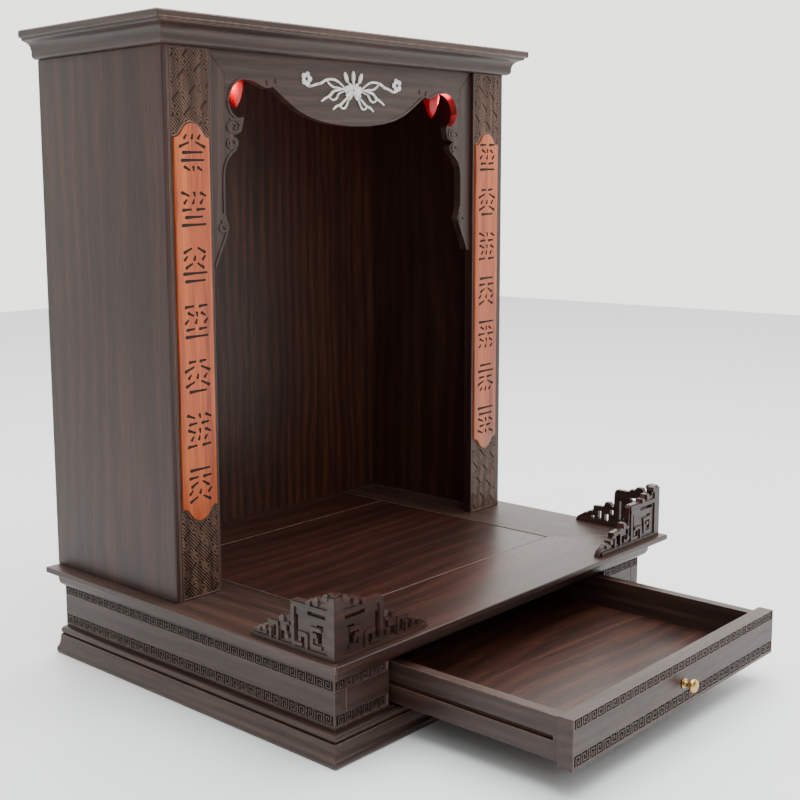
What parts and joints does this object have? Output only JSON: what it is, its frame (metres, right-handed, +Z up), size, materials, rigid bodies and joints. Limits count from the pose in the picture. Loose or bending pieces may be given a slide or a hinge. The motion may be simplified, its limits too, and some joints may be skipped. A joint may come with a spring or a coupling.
{
  "type": "household altar cabinet",
  "caption": "Open-fronted household altar cabinet of dark wood: a niche with carved pillars and valance on a low moulded base with a sliding drawer.",
  "frame": {"origin": "centre of the base's underside, midway between the ledge's front and back edges", "axes": "+X towards the cabinet's right as seen from the front, +Y towards its back, +Z up"},
  "size_m": [0.622, 0.6734, 0.721],
  "materials": {
    "dark_wood": "dark stained hardwood, satin lacquer",
    "inner_wood": "dark reddish stained panel, satin lacquer",
    "plaque_wood": "orange-brown figured wood, satin lacquer",
    "pearl_inlay": "mother-of-pearl inlay, gloss",
    "brass": "polished",
    "red_glass": "red coated glass, lit",
    "socket_plastic": "moulded"
  },
  "bodies": {
    "cabinet": {"bottom_board": "inner_wood", "plinth_moulding_front": "dark_wood", "plinth_moulding_right": "dark_wood", "plinth_moulding_left": "dark_wood", "base_side_right": "dark_wood", "base_side_left": "dark_wood", "front_stile_right": "dark_wood", "front_stile_left": "dark_wood", "front_rail": "dark_wood", "base_back": "dark_wood", "drawer_runner_right": "inner_wood", "drawer_runner_left": "inner_wood", "ledge_front": "dark_wood", "ledge_side_right": "dark_wood", "ledge_side_left": "dark_wood", "ledge_back": "dark_wood", "ledge_panel": "dark_wood", "niche_side_right": "dark_wood", "niche_side_left": "dark_wood", "niche_back": "inner_wood", "niche_ceiling": "inner_wood", "crown_moulding_front": "dark_wood", "crown_moulding_right": "dark_wood", "crown_moulding_left": "dark_wood", "top_board": "dark_wood", "crown_back_rail": "dark_wood", "pillar_right": "dark_wood", "pillar_left": "dark_wood", "plaque_right": "plaque_wood", "plaque_left": "plaque_wood", "valance": "dark_wood", "bracket_right": "dark_wood", "bracket_left": "dark_wood", "inlay_ornament": "pearl_inlay", "bulb_right": "red_glass", "bulb_left": "red_glass", "lamp_socket_right": "socket_plastic", "lamp_socket_left": "socket_plastic", "rail_front_right": "dark_wood", "rail_front_left": "dark_wood", "rail_side_right": "dark_wood", "rail_side_left": "dark_wood"},
    "drawer": {"drawer_front": "dark_wood", "drawer_side_right": "dark_wood", "drawer_side_left": "dark_wood", "drawer_back": "inner_wood", "drawer_bottom": "inner_wood", "knob_rose": "brass", "drawer_knob": "brass"}
  },
  "joints": [
    {"name": "drawer_slide", "type": "slide", "parent": "cabinet", "child": "drawer", "axis": [0, 1, 0], "range_m": [-0.1, 0.215]}
  ]
}
